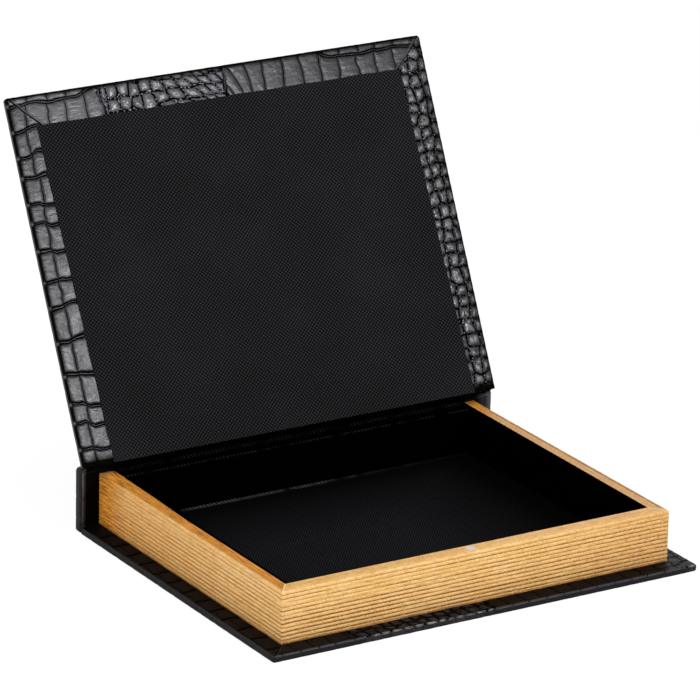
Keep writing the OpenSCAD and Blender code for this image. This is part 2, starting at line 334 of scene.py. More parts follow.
def note(piece, **notes):
    """Writes numbers or vectors on the vertices."""
    for name, values in notes.items():
        values = np.asarray(values, float)
        kind, key = ("FLOAT", "value") if values.ndim == 1 else ("FLOAT_VECTOR", "vector")
        a = piece.data.attributes.get(name) or piece.data.attributes.new(name, kind, "POINT")
        a.data.foreach_set(key, values.ravel())


def noted(piece, name):
    """The vectors that a note wrote."""
    a = piece.data.attributes[name]
    out = np.empty(len(a.data) * 3)
    a.data.foreach_get("vector", out)
    return out.reshape(-1, 3)


def ramp(value, start, over):
    """0 up to start and 1 from there on by over, even between. It falls where over is below 0."""
    return np.clip((value - start) / over, 0, 1)


def rough(a, b, seed):
    """Smooth noise round 0, at each pair of places."""
    return np.array([noise.noise(Vector((p, q, seed))) for p, q in zip(a, b)])


def grid(name, across, along):
    """A flat sheet of across by along faces: where its vertices are, from 0 to 1, and on which
    of its lines."""
    select_none()
    bpy.ops.mesh.primitive_grid_add(x_subdivisions=across, y_subdivisions=along, size=2)
    piece = bpy.context.object
    piece.name = piece.data.name = name
    at = (places(piece)[:, :2] + 1) / 2
    return piece, at, *np.rint(at * (across, along)).astype(int).T


def strip(name, across, half, section):
    """A sheet that follows a section of y and z from -half to half: its x, y, z and rows."""
    piece, at, _, row = grid(name, across, len(section) - 1)
    x = (at[:, 0] * 2 - 1) * half
    y, z = section[row].T
    put(piece, np.stack([x, y, z], 1) * MM)
    return piece, x, y, z, row


def run_of(section):
    """How far along a section each of its points is."""
    return np.concatenate([[0], np.cumsum(np.hypot(*np.diff(section, axis=0).T))])


def stops(low, high, count):
    """Places of grid lines: close ones at both rounded edges, even ones between."""
    inner = np.linspace(low + CLOSE_LINES[-1], high - CLOSE_LINES[-1], count)
    close = np.array(CLOSE_LINES[:-1])
    return np.concatenate([low + close, inner, high - close[::-1]])


def finer(piece):
    """Splits every face twice, without moving anything."""
    m = piece.modifiers.new("finer", "SUBSURF")
    m.subdivision_type, m.levels, m.render_levels = "SIMPLE", 2, 2
    apply(piece, m)


def select_none():
    bpy.ops.object.select_all(action="DESELECT")


def edit_all():
    bpy.ops.object.mode_set(mode="EDIT")
    bpy.ops.mesh.select_all(action="SELECT")


def select_open_edges():
    bpy.ops.mesh.select_all(action="DESELECT")
    bpy.ops.mesh.select_non_manifold(
        extend=False, use_wire=False, use_boundary=True,
        use_multi_face=False, use_non_contiguous=False, use_verts=False)


def turn_faces(piece):
    pick(piece)
    edit_all()
    bpy.ops.mesh.flip_normals()
    bpy.ops.object.mode_set(mode="OBJECT")


def smooth(piece, angle=60):
    pick(piece)
    bpy.ops.object.shade_smooth_by_angle(angle=math.radians(angle))


def join(name, parts):
    select_none()
    for part in parts:
        part.select_set(True)
    bpy.context.view_layer.objects.active = parts[0]
    if len(parts) > 1:
        bpy.ops.object.join()
    parts[0].name = parts[0].data.name = name
    return parts[0]


def give(piece, finish):
    piece.data.materials.clear()
    piece.data.materials.append(finish)


def dress(piece, finish, body, node):
    """Finishes a piece. One that is blended between two bodies rides on none."""
    give(piece, finish)
    if body:
        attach(piece, body)
    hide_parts(node)


# ---- leather
def wrapped_face(name, w, d, t, spacing, square_rear=False):
    """Leather over a board's outer face and round its edges.

    Its places are across, from the front edge, and height above the outer face. The notes foot
    and out say where each edge vertex leaves the flat of the face, and which way.
    """
    r = OUTLINE_R
    a, low, high = w / 2 - EDGE_R, EDGE_R, d - (0 if square_rear else EDGE_R)
    xs, ys = stops(-a, a, int(w / spacing)), stops(low, high, int(d / spacing))
    piece, _, i, j = grid(name, len(xs) - 1, len(ys) - 1)
    foot = np.stack([xs[i], ys[j], np.zeros(len(i))], 1)
    out = np.zeros_like(foot)
    mid, b = (low + high) / 2, (high - low) / 2
    for v in range(len(foot)):
        if i[v] not in (0, len(xs) - 1) and j[v] not in (0, len(ys) - 1):
            continue
        x, y = foot[v, 0], foot[v, 1] - mid
        p, q = (abs(x) - (a - r)) / r, (abs(y) - (b - r)) / r
        rear = square_rear and y > 0
        if p >= 0 and q >= 0 and not rear:
            turn = math.radians(45 * q if p >= q else 90 - 45 * p)
            out[v] = (math.copysign(math.cos(turn), x), math.copysign(math.sin(turn), y), 0)
            foot[v, 0] = math.copysign(a - r, x) + r * out[v, 0]
            foot[v, 1] = mid + math.copysign(b - r, y) + r * out[v, 1]
        elif p >= 1 - 1e-6:
            out[v, 0] = math.copysign(1, x)
        elif q >= 1 - 1e-6 and not rear:
            out[v, 1] = math.copysign(1, y)
    note(piece, foot=foot, out=out, sheet=foot)
    put(piece, foot)
    # rings round the edge: inset from the outline, height, and length on the leather
    quarter = [math.radians(f) for f in (30, 60, 90)]
    rings = [(EDGE_R * (1 - math.sin(f)), EDGE_R * (1 - math.cos(f)), EDGE_R * f) for f in quarter]
    side = t - 2 * EDGE_R
    run = EDGE_R * quarter[-1]
    rings += [(0, EDGE_R + side * k / 2, run + side * k / 2) for k in (1, 2)]
    run += side
    rings += [(EDGE_R * (1 - math.cos(f)), t - EDGE_R + EDGE_R * math.sin(f), run + EDGE_R * f)
              for f in quarter]
    for inset, height, length in rings:
        bpy.ops.object.mode_set(mode="EDIT")
        bpy.ops.mesh.select_mode(type="EDGE")
        select_open_edges()
        bpy.ops.mesh.extrude_region_move()
        bpy.ops.object.mode_set(mode="OBJECT")
        new = np.empty(len(piece.data.vertices), bool)
        piece.data.vertices.foreach_get("select", new)
        foot, out, sheet = (noted(piece, name) for name in ("foot", "out", "sheet"))
        co = places(piece)
        co[new] = foot[new] + out[new] * (EDGE_R - inset)
        co[new, 2] = height
        sheet[new] = foot[new] + out[new] * length
        put(piece, co)
        note(piece, sheet=sheet)
    finer(piece)
    return piece


def wave(m):
    """How far the upper flap's edge lies back from the mitre line, at the place m along it."""
    return 1.05 + 1.05 * np.sin(m / 3.3) * np.cos(m / 7.9 + 0.6)


def flap(name, length, upper):
    """A turned-in flap: how far along the edge, in from it, and from a mitre's edge each vertex is.

    The upper flap has a mitre with a wavy edge at both ends, and the lower ones have one at
    their front end, where they run on under it.
    """
    piece, at, *_ = grid(name, int(length / FLAP_GRID), int(TURN_IN / FLAP_GRID))
    inward = EDGE_R + at[:, 1] * (TURN_IN - EDGE_R)
    low = inward + wave(inward) if upper else np.maximum(inward - TUCKED, EDGE_R)
    high = length - low if upper else length + 0 * low
    along = low + at[:, 0] * (high - low)
    if upper:
        past = np.minimum(along, length - along) - inward - wave(inward)
    else:
        past = along - inward + wave(along)
    return piece, along, inward, past / math.sqrt(2)


# Three ways to place a cover: across, along from its front edge, and above its outer face
def lid_place(x, s, h):
    x, s, h = (np.asarray(v, float) for v in (x, s, h))
    return (PIVOT + x[:, None] * np.array([1.0, 0, 0]) + (LID_D - s)[:, None] * LID_UP
            + h[:, None] * LID_IN)


def back_place(x, s, h):
    return np.stack([x, FRONT_Y + s, h], 1)


def spine_place(x, s, h):
    """Here s is the height above the table, and h the depth below the spine's outer face."""
    return np.stack([x, BACK_Y - h, s], 1)


def finish_leather(piece, place, depth, turn):
    co = places(piece)
    put(piece, place(co[:, 0], co[:, 1], co[:, 2]) * MM)
    if turn:
        turn_faces(piece)
    emboss(piece, depth)
    smooth(piece)


def outer_leather(name, w, d, t, place, turn, shift, square_rear=False, spacing=3.6,
                  edge_shade=0.0, rubbed=0.0, narrow=0.0, corner_gloss=0.0, inner_shade=0.0,
                  face_shade=0.0, bunches=()):
    """One cover's leather on the outside and round the edges.

    edge_shade is how much painted shade darkens the edges, rubbed how much painted grey
    highlight lies on their middle, over all the edge or, with narrow above 0, less of it.
    corner_gloss is how much the corner towards the inner face keeps of its gloss and its scales,
    and inner_shade how much painted shade darkens it away from the ends. face_shade is how much
    painted shade darkens the outer face. bunches are the places down the left edge where a
    turned-in fold bunches up, where highlight spots are painted.
    """
    piece = wrapped_face(name, w, d, t, spacing, square_rear)
    sheet = noted(piece, "sheet")
    across, down = sheet[:, 0], sheet[:, 1]
    # the sheet has a band of small scales left of its middle and another at its right edge
    band, last_band = (-80, 3), 131
    side = across - 8 * np.sin(down / 33) * ramp(down, 0, 40)
    small = np.maximum(np.minimum(side - band[0], band[1] - side), across - last_band)
    _, s, height = places(piece).T
    edge = height > 0.05
    corner = corner_gloss * ramp(height, t - 0.8, 0.3)
    corner *= np.where(np.abs(across) > w / 2 - 1, 0.15, 1.0)
    # painted highlight: rubbed greys the middle of the edges
    middle = ramp(1 - np.abs(height / t * 2 - 1), narrow, 1 - narrow) * (rubbed > 0)
    inner = inner_shade * ramp(height, t - EDGE_R, 0.4) * (np.abs(across) < w / 2 - 4)
    # painted highlight spots where the turned-in folds bunch up on the left edge
    highlight_spots = 0.8 * sum((np.exp(-((s - fold) / 0.8) ** 2) for fold in bunches), 0 * s)
    highlight_spots *= (across < -w / 2 + 1) * ramp(height, t / 2, 0.8)
    # painted shade on the edges and inside corner, less at the corner and the highlight spots
    painted_shade = np.maximum(edge_shade * (1 - corner) * (1 - middle), inner) * (1 - highlight_spots)
    note(piece, small=small, press=np.where(edge, (0.3 + 0.6 * corner) * (1 - 0.6 * middle), 1.0),
         sheltered=np.where(edge, painted_shade, face_shade),
         worn=np.where(edge, np.maximum(rubbed * middle, highlight_spots), 0.0),
         sheet=sheet + np.array([shift[0], shift[1], 1.0]))
    finish_leather(piece, place, OUTSIDE, turn)
    return piece


def turned_in(name, w, d, t, place, turn, zones, sheltered=0.0, margin=0.0):
    """The three flaps on a board's inner face: left, front and right.

    sheltered is how much painted shade lies on them all, and margin how much right beside the edges
    and beside the hinge.
    """
    parts = []
    # at a mitre the upper flap stands proud, and the lower ones sink under it
    proud, sunk = 0.16, 0.35
    for side in ("left", "front", "right"):
        upper = side == "front"
        piece, along, inward, near = flap(side, w if upper else d, upper)
        if upper:
            lift = proud * np.clip(1 - near / 2.5, 0, 1) ** 2
        else:
            lift = -sunk * np.clip(-near / 1.4, 0, 1)
        x, s = {"left": (-w / 2 + inward, along), "front": (-w / 2 + along, inward),
                "right": (w / 2 - inward, along)}[side]
        sheet, small, free = zones(side, along, inward)
        put(piece, np.stack([x, s, t + lift], 1))
        # painted shade beside the edges, on the right flap's outer column and near the hinge end
        beside = np.clip(1 - (inward - EDGE_R) / 2, 0, 1)
        if side == "right":
            beside = np.maximum(beside * 0.8, np.maximum(0.42 * ramp(inward, 8, -3), 0.13))
        if upper:
            beside = np.maximum(beside, 0.13 * ramp(along, 140, 40))
        else:
            beside = np.maximum(beside, 1.04 * np.clip((along - d + 5.4) / 1.6, 0, 1))
        # past the pages' right end more light reaches the base
        open_end = 1 - 0.4 * ramp(x, 114, 12)
        # painted highlight: the front flap is greyed over its small scales and towards its left end
        rubbed = np.maximum(np.clip(small + 0 * x, 0, 1), 0.8 * ramp(along, 58, -14))
        note(piece, sheet=np.stack([sheet[0], sheet[1], x * 0 + free], 1), small=x * 0 + small,
             press=np.clip(0.35 + near / 1.2, 0, 1),
             seam=np.maximum(0, 3 - near) * (-1 if upper else 1),
             sheltered=np.maximum(sheltered * open_end, margin * beside),
             worn=0.42 * upper * (1 - sheltered) * rubbed)
        # a grid laid along the edge runs the other way round on the left flap
        if side == "left":
            turn_faces(piece)
        parts.append(piece)
    piece = join(name, parts)
    finer(piece)
    finish_leather(piece, place, FLAPS, turn)
    return piece


# Where the folds between the rows of belly scales reach the lid's left edge, from its front edge
LID_FOLDS = [-10, 5, 20, 34.8, 46.4, 61.6, 72.3, 88.2, 106.2, 121, 141, 160, 176, 186.6, 201.8, 216]


# How the scales lie on each flap: place on the sheet, small scales, freedom
def lid_zones(side, along, inward):
    if side == "left":
        # two columns of belly scales
        step = 2.6 * np.sin(along / 17) * ramp(inward, 8, 4)
        y = np.interp(along + step, LID_FOLDS, np.arange(len(LID_FOLDS)) * BELLY[1])
        return (inward - 9.8 + 20 * BELLY[0], y), ALL_BELLY, 0.1
    if side == "front":
        # belly scales at both ends; between them two rows of round ones, leaning further on
        lean = ramp(along, 88, 35) * ramp(along, 160, -18)
        fold = ramp(along, 44, 14) * ramp(along, 212, -10)
        round_rows = (inward - 9.5) * (0.78 + 0.42 * ramp(along, 90, 15)) + 18.55
        small = np.minimum(along - 60, 140 - along)
        y = np.where(small > -0.5, round_rows, inward * (1 - 0.35 * fold) + 25.4 + 6 * fold)
        x = np.minimum(along, 90) + np.clip(along - 90, 0, 49) * 1.15 + np.maximum(along - 139, 0)
        return ((x - inward * lean) * 0.896, y), small, 0.1
    # three columns of small scales, the broadest in the middle
    column = np.interp(inward, [0, 6.4, 13.8, 20.6, 27.0], [45, 46, 47, 48, 49])
    return (column * PEBBLE[0], along * 0.9 + 90), ALL_SMALL, 0.7


def back_zones(side, along, inward):
    if side == "front":
        # lengthwise wrinkles towards the right corner
        wrinkled = 1 + 1.8 * ramp(along, 232, 18)
        return (along + 400, inward * wrinkled + 410), np.minimum(along - 53, 141 - along), 0.6
    if side == "left":
        return (inward + 500, along + 20), ALL_BELLY, 0.5
    return (inward + 600, along * 2 + 60), ALL_BELLY, 0.5


def covers(finish):
    def on(body, node, *pieces):
        for piece in pieces:
            dress(piece, finish, body, node)

    lid = COVER_W, LID_D, COVER_T, lid_place
    outside = outer_leather("lid_leather_outside", *lid, False, (0, 0), True, edge_shade=0.95,
                            rubbed=1.0, narrow=0.5, face_shade=0.5, bunches=LID_FOLDS)
    inside = turned_in("lid_leather_turned_in", *lid, True, lid_zones, margin=0.93)
    end, at, *_ = grid("lid_leather_end", 90, 4)
    put(end, lid_place((at[:, 0] - 0.5) * (COVER_W - 2.2), at[:, 1] * 0 + LID_D + 0.02,
                       0.4 + at[:, 1] * 3.55) * MM)
    # painted shade over the lid's rear end
    note(end, sheltered=at[:, 0] * 0 + 0.8)
    smooth(end)
    on("lid", "lid_leather", outside, inside, end)
    back = COVER_W, BASE_D, COVER_T, back_place
    on("case", "back_leather",
       outer_leather("back_leather_outside", *back, True, (700, 300), edge_shade=0.56,
                     corner_gloss=0.95),
       turned_in("back_leather_turned_in", *back, False, back_zones, 0.8))
    outside = outer_leather("spine_leather_outside", COVER_W, SPINE_TOP, SPINE_T, spine_place,
                            True, (0, 600), spacing=3.0, edge_shade=0.4, inner_shade=0.97)
    piece, at, *_ = grid("spine_leather_turned_in", 90, 12)
    x = (at[:, 0] - 0.5) * (COVER_W - 2 * EDGE_R)
    z = EDGE_R + at[:, 1] * (SPINE_TOP - 2 * EDGE_R)
    put(piece, np.stack([x, z, np.full(len(x), SPINE_T)], 1))
    # painted shade, black behind the pages, and a painted grey highlight at the very ends
    end = ramp(np.abs(x), 133.2, 1.5)
    note(piece, sheet=np.stack([x + 900, z + 40, z * 0 + 0.5], 1), small=x * 0 + ALL_BELLY,
         press=np.clip((137 - np.abs(x)) / 6, 0, 0.6),
         sheltered=0.95 - 0.6 * ramp(x, 128, 4) - 0.9 * end * (x < 0), worn=end)
    finer(piece)
    finish_leather(piece, spine_place, SPINE_INSIDE, False)
    on("case", "spine_leather", outside, piece)


def up(s, h):
    """y and z of a place s up the open lid from the pivot, and h in from its outer face."""
    return PIVOT[1:] + LID_UP[1:] * s + LID_IN[1:] * h


def outer_hinge(finish):
    """Leather from the spine's top round the fold to the lid's outer face, and back inside it."""
    behind, top, thick = 107.2, PIVOT[2], 0.6
    path = [(behind - 0.15, SPINE_TOP), (behind, 38.75), (behind - 0.1, 39.12), (behind - 0.5, top)]
    path += [(y, top) for y in (106.2, 105.6, 105.0, 104.4, 103.9, 103.5)]
    path += [(103.22, 39.28), (103.12, 39.4)]
    path += [up(s, 0.0) for s in (0.5, 1.0, 1.6, 2.2, 2.8, 3.4, 3.8)]
    path += [up(4.0, 0.15), up(4.0, 0.45), up(3.85, thick)]
    inner = len(path) - 3
    path += [up(s, thick) for s in (3.0, 2.0, 1.0, 0.4)]
    path += [(102.55, 38.95), (102.7, 38.7), (103.0, SPINE_TOP)]
    path += [(y, SPINE_TOP) for y in (103.6, 104.4, 105.2, 106.2)]
    ring = np.array(path + path[:1])
    piece, x, _, _, row = strip("hinge_leather_fold", 90, COVER_W / 2 - EDGE_R, ring)
    # painted shade over the hinge leather's inner side
    note(piece, sheet=np.stack([x + 1200, run_of(ring)[row], x * 0], 1), small=x * 0 + ALL_BELLY,
         press=x * 0, sheltered=np.where(row >= inner, 0.95, 0.0))
    turn_faces(piece)
    # the ring is closed, and its two ends are filled
    edit_all()
    bpy.ops.mesh.remove_doubles(threshold=1e-6)
    select_open_edges()
    bpy.ops.mesh.edge_face_add()
    bpy.ops.mesh.select_all(action="SELECT")
    bpy.ops.mesh.normals_make_consistent(inside=False)
    bpy.ops.object.mode_set(mode="OBJECT")
    smooth(piece, 50)
    dress(piece, finish, None, "hinge_leather")
    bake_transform(piece)


# ---- page edges
def wobble(p, k, size):
    """Noise along a rib, the same on both sides of a corner."""
    return noise.noise(Vector((p / size, k * 7.31, 2.5)))


def edge_section(p):
    """Section of the page-edge skin at the place p along the walls: depth, height, glaze."""
    foot = BLOCK_H - LIP_H - (GROOVES - 1) * RIB_PITCH
    lines = [foot + g * RIB_PITCH + 0.12 * wobble(p, g, 60) + 0.05 * wobble(p, g + 40, 7)
             for g in range(GROOVES)]
    deep = [min(max(0.78 + 0.5 * wobble(p, g + 80, 40) + 0.25 * wobble(p, g + 120, 9), 0.3), 1.0)
            for g in range(GROOVES)]
    # height and depth of the marks: five on each rounded rib, one down in each groove
    marks = []
    for g in range(GROOVES):
        low = lines[g - 1] if g else 0.0
        gap = lines[g] - low
        before = deep[g - 1] if g else 0.3
        for f in (0.14, 0.32, 0.5, 0.68, 0.86):
            marks.append((low + gap * f,
                          (before if f < 0.5 else deep[g]) * (2 * abs(f - 0.5)) ** 2.2))
        marks.append((lines[g], deep[g]))
    turn_r = 0.6
    top = BLOCK_H - turn_r
    for f in (0.12, 0.3, 0.6):
        marks.append((lines[-1] + (top - lines[-1]) * f, deep[-1] * max(0.0, 1 - f * 2.2) ** 2))
    section = [(0.05, 0.0, 0.2)] + [(RIB_DEPTH * g, z, g) for z, g in marks]
    for turn in (0, 22.5, 45, 67.5, 90):
        f = math.radians(turn)
        section.append((turn_r - turn_r * math.cos(f), top + turn_r * math.sin(f), 0.0))
    # on the right wall a line of glaze is left on the rim, just in from its outer corner
    line = max(0.0, 0.9 + 0.7 * wobble(p, 90, 12)) * min(max((p - BLOCK_D - BLOCK_W) / 8, 0), 1)
    for y in (*np.arange(1.4, 8.7, 0.6), 9.1, 9.3):
        section.append((y, BLOCK_H + 0.03 * wobble(p, 200 + y, 15), line if y < 2.7 else 0.0))
    # the skin turns down at the lining
    return section + [(WALL_T, BLOCK_H - 0.1, 0.1), (WALL_T, BLOCK_H - 0.8, 0.3),
                      (WALL_T - 1, BLOCK_H - 0.8, 0.3)]


def rim(depth, share):
    """Depth of a place on the skin where the skin laps this share of the wall's top."""
    return np.where(depth > 1, 1 + (depth - 1) * (WALL_T * share - 1) / (WALL_T - 1), depth)


def page_edge(name, start, run, place, finish, node, meets, magnet=None, laps=((0,), (1.0,))):
    """One wall's ribbed skin. start is the place of its first end along the three walls.

    laps are places along the wall and the shares of its top that the skin laps there, and
    meets the shares of the skins that it meets at its two ends, or None at an end without a
    mitre.
    """
    spacing, closer, around = 1.3, 0.5, 4.3
    stations = np.linspace(0, run, int(run / spacing) + 1)
    if magnet is not None:
        stations = np.concatenate([stations[stations < magnet - around],
                                   magnet + np.arange(-4, 4.1, closer),
                                   stations[stations > magnet + around]])
    first = np.array(edge_section(0.0))
    piece, _, i, j = grid(name, len(stations) - 1, len(first) - 1)
    sections = np.array([edge_section(start + u) for u in stations])
    depth, height, glaze = sections[i, j].T
    # the grooves run out towards the mitred corners
    from_corner = np.minimum(*(1e3 if share is None else np.abs(stations[i] - end)
                               for share, end in zip(meets, (0, run))))
    ribs = (depth < 0.5) & (height < BLOCK_H - 0.7)
    depth = np.where(ribs, depth * np.clip(from_corner / 7, 0.4, 1), depth)
    low, back = (0 * depth if share is None else rim(depth, share) for share in meets)
    along = low + stations[i] / run * (run - back - low)
    if magnet is not None:
        # the skin laps the magnet's rim and leaves a ragged opening over its middle
        reach = np.hypot(along - magnet, depth - MAGNET_IN)
        opening = 2.7 + 0.6 * rough(along * 0.9, depth * 0.9, 4.0)
        lap = 0.06 * ramp(reach, 4, -0.6) - 0.6 * np.clip((opening - reach) / 0.4, 0, 1)
        height = np.where(height > BLOCK_H - 0.2, height + lap, height)
    x, y = place(along, rim(depth, np.interp(stations[i], *laps)))
    put(piece, np.stack([x, y, COVER_T + height], 1) * MM)
    mitred = sum((i == line) & (share is not None)
                 for share, line in zip(meets, (0, len(stations) - 1)))
    note(piece, sheet=np.stack([start + along, run_of(first[:, :2])[j], depth], 1), glaze=glaze,
         mitre=mitred * (height > BLOCK_H - 0.2))
    smooth(piece, 70)
    dress(piece, finish, "case", node)


def page_edges(finish):
    def fore(u, depth):
        return -BLOCK_W / 2 + u, FORE_Y + depth

    def left(u, depth):
        return -BLOCK_W / 2 + depth, FORE_Y + BLOCK_D - u

    def right(u, depth):
        return BLOCK_W / 2 - depth, FORE_Y + u

    page_edge("left_page_edge", 0.0, BLOCK_D, left, finish, "left_edge", (None, 1.0),
              laps=LEFT_LAP)
    page_edge("fore_page_edge", BLOCK_D, BLOCK_W, fore, finish, "fore_edge",
              (LEFT_LAP[1][-1], RIGHT_LAP[1][0]), BLOCK_W / 2 - MAGNET_OFF)
    page_edge("right_page_edge", BLOCK_D + BLOCK_W, BLOCK_D, right, finish, "right_edge",
              (1.0, None), laps=RIGHT_LAP)


def gilt_surface(t):
    """Antique gold paint over moulded ribs, with a brown glaze wiped into the grooves.

    along runs the length of the three walls, and girth up the ribs and over the rim, in mm.
    """
    sheet, glaze = t.attribute("sheet", "Vector"), t.attribute("glaze")
    along, girth, _ = t.split(sheet)
    streak = t.cloud(t.join(along * 0.07, girth * 1.3), 1.0, 3.0, 0.6)
    speck = t.cloud(sheet, 0.75, 2.0, 0.75)
    blotch = t.cloud(t.join(along * 0.4, girth), 0.5, 2.0, 0.6)
    patch = t.cloud(sheet, 0.06, 2.0)
    low = 1.0 - girth.step(4.0, 30.0)
    gold = t.mix(patch.step(0.3, 0.7), rgb(232, 184, 108), rgb(240, 194, 124))
    warmth = blotch.step(0.42, 0.7) * 0.55 + along.step(330.0, 450.0) * 0.42
    gold = t.mix(warmth.clip(), gold, rgb(202, 146, 74))
    gold = t.mix((streak - 0.54).step(0.0, 0.14) * 0.4, gold, rgb(252, 216, 152))
    # the rims of the side walls are duller than the fore-edge
    left_wall = 1.0 - along.step(198.0, 200.5)
    side_rim = (left_wall + along.step(449.5, 452.0)) * girth.step(32.0, 33.0)
    gold = t.mix(side_rim * 0.45, gold, rgb(188, 142, 104))
    brown = t.mix(left_wall, rgb(122, 64, 10), rgb(154, 88, 26))
    wiped = glaze - 0.2 + low * 0.14 + (streak - 0.5) * 0.5 + (speck - 0.5) * 0.35
    wiped = wiped.step(-0.05, 0.6)
    color = t.mix(wiped * (0.78 + low * 0.2), gold, brown)
    # glaze has pooled along the middle of the rim, and over nearly all of it on the left
    wider = left_wall * 2.2
    middle = (girth + wider).step(34.0, 36.0) * (1.0 - (girth - wider).step(38.0, 40.5))
    near_spine = (1.0 - along.step(-6.0, 34.0)).most(along.step(612.0, 652.0))
    rear_left = (1.0 - along.step(0.0, 170.0)) * 0.4
    pooled = middle * (0.3 + left_wall * 0.8) + near_spine * 1.2 + rear_left
    orange = (pooled + (streak - 0.5) * 2.0 * pooled.clip()).clip() * 0.9
    color = t.mix(orange, color,
                  t.mix(streak.step(0.4, 0.55), rgb(142, 74, 6), rgb(232, 150, 38)))
    foot = 1.0 - girth.step(0.2, 2.4)
    color = t.mix(foot * 0.85, color,
                  t.mix(streak.step(0.4, 0.6), rgb(96, 50, 10), rgb(186, 116, 42)))
    # dark and light specks, and a painted highlight along the mitres
    color = t.mix((0.47 - speck).step(0.0, 0.12) * 0.24, color, rgb(150, 94, 36))
    light = (speck - 0.52).step(0.0, 0.14) * 0.32 * (1.0 - orange * 0.7)
    color = t.mix(light, color, rgb(255, 228, 170))
    color = t.mix(t.attribute("mitre").step(0.5, 0.75), color, rgb(250, 218, 164))
    # the skin's raw grey end shows at the spine
    raw = (1.0 - (along + (blotch - 0.5) * 1.4).step(0.7, 1.1)) * girth.step(29.0, 31.0)
    color = t.mix(raw, color, t.mix(speck.step(0.35, 0.6), rgb(52, 48, 56), rgb(158, 154, 170)))
    return t.surface(color, 0.44 + (speck - 0.5) * 0.2 + wiped * 0.1,
                     t.bump(speck + blotch * 0.8, 0.42 * MM), specular=0.3,
                     metallic=0.1 + (speck - 0.5) * 0.2)


# ---- cloths
def dotted_surface(t):
    """The lid's black cloth, with a staggered dot of floating thread every 2.4 mm or so."""
    pitch = 2.45, 2.33
    where = t.place()
    a, b = (t.along(where, tuple(way)) * TO_MM for way in ((1, 0, 0), LID_UP))
    cloth = t.join(a, b)
    stray = t.cloud(cloth, 0.25, 2.0) - 0.5
    u = (a + stray * 0.25) / pitch[0]
    v = (b + stray * 0.25) / pitch[1]
    dot = ((u * CIRCLE).cosine() * (v * CIRCLE).cosine()).step(-0.15, 0.9)
    thread = ((u * 5.0 + v * 5.0) * CIRCLE).sine()
    fuzz = t.cloud(cloth, 3.0, 3.0, 0.7)
    worn = t.cloud(cloth, 0.02, 3.0)
    light = (dot * 0.8 + (fuzz - 0.5) * 0.9 + (worn - 0.5) * 0.4).clip()
    return t.surface(t.mix(light, rgb(3, 3, 4), rgb(50, 50, 54)), 0.78 - dot * 0.15,
                     t.bump(dot + thread * 0.16 + fuzz * 0.25, 0.14 * MM), specular=0.08)


def twill_surface(t, dark, light):
    """Black twill with a rib every 1.8 mm. rub is a painted highlight at its folds, and deep a
    painted shade.
    """
    rib_pitch, tick_pitch = 1.8, 2.3
    where = t.place_mm()
    x, y, z = t.split(where)
    stray = t.cloud(where, 0.3, 2.0) - 0.5
    rib = ((x - y * 0.83 + z * 0.9 + stray * 0.4) * (CIRCLE / rib_pitch)).sine()
    fuzz = t.cloud(where, 1.6, 2.0, 0.6)
    # painted highlight: along a fold the threads stand up and show as a row of light ticks
    tick = ((x + (y + z) * 0.7) * (CIRCLE / tick_pitch) + (fuzz - 0.5) * 4.0).sine().step(0.0, 1.0)
    ticks = tick * 0.75 + fuzz.step(0.4, 0.75) * 0.2
    rub = t.attribute("rub") * ticks * t.cloud(where, 0.09, 2.0).step(0.3, 0.62)
    # painted shade: deep darkens the weave
    weave = (rib * 0.28 + 0.35 + (fuzz - 0.5) * 1.3).clip() * (1.0 - t.attribute("deep"))
    return t.surface(t.mix(rub.clip(), t.mix(weave, dark, light), rgb(104, 104, 108)),
                     0.85 - fuzz * 0.1, t.bump(rib * 0.35 + fuzz * 0.7, 0.06 * MM), specular=0.0)


def covered_card(name, boxes, finish, node):
    """A thin card covered in cloth, with soft edges, from one box or from two that meet."""
    parts = []
    for low, high in boxes:
        select_none()
        low, high = Vector(low) * MM, Vector(high) * MM
        bpy.ops.mesh.primitive_cube_add(size=1, location=(low + high) / 2, scale=high - low)
        parts.append(bpy.context.object)
        bpy.ops.object.transform_apply(location=True, rotation=True, scale=True)
        edit_all()
        bpy.ops.mesh.bevel(offset=0.2 * MM, segments=3, affect="EDGES")
        bpy.ops.object.mode_set(mode="OBJECT")
    piece = join(name, parts)
    smooth(piece, 40)
    dress(piece, finish, "case", node)


def declare(piece, width):
    """Works out the width in metres and keeps nothing; the piece is not used."""
    width * MM


def floor_lining(finish):
    """Twill on the floor card, a little uneven, its rear edge turned up against the rear wall."""
    y0, y1 = INNER_FORE_Y + 0.2, INNER_REAR_Y - 0.1
    half, flat = INNER_X - 0.2, 6.0
    path = [(y0, 5.5), (y0, 5.85), (y0 + 0.2, flat)]
    path += [(y, flat) for y in np.linspace(y0 + 2, y1 - 2.2, 60)]
    path += [(y1 - 1.6, 6.03), (y1 - 1.1, 6.2), (y1 - 0.7, 6.5), (y1 - 0.4, 6.9), (y1 - 0.1, 7.0),
             (y1, 6.7), (y1, 5.5)]
    ring = np.array(path)
    piece, x, y, z, _ = strip("floor_lining", 90, half, ring)
    inside = np.clip(np.minimum(half - np.abs(x), np.minimum(y - y0, y1 - 3 - y)) / 12, 0, 1)
    rise = rough(x / 34, y / 34, 1.7)
    put(piece, np.stack([x, y, z + inside * (0.12 + 0.25 * rise)], 1) * MM)
    # painted shade: the twill is darkest under the hinge and towards the right wall
    deep = np.maximum(0.8 * np.clip(1 - (y1 - 4 - y) / 70, 0, 1), 0.8 * ramp(x, 20, 85))
    # painted highlight along the turned-up rear edge
    rub = 0.8 * np.exp(-((y - (y1 - 0.8)) / 0.8) ** 2) * np.clip((60 - x) / 60, 0.08, 1)
    note(piece, rub=rub, deep=deep)
    smooth(piece)
    dress(piece, finish, "case", "floor_cloth")
    declare(piece, 2 * half)


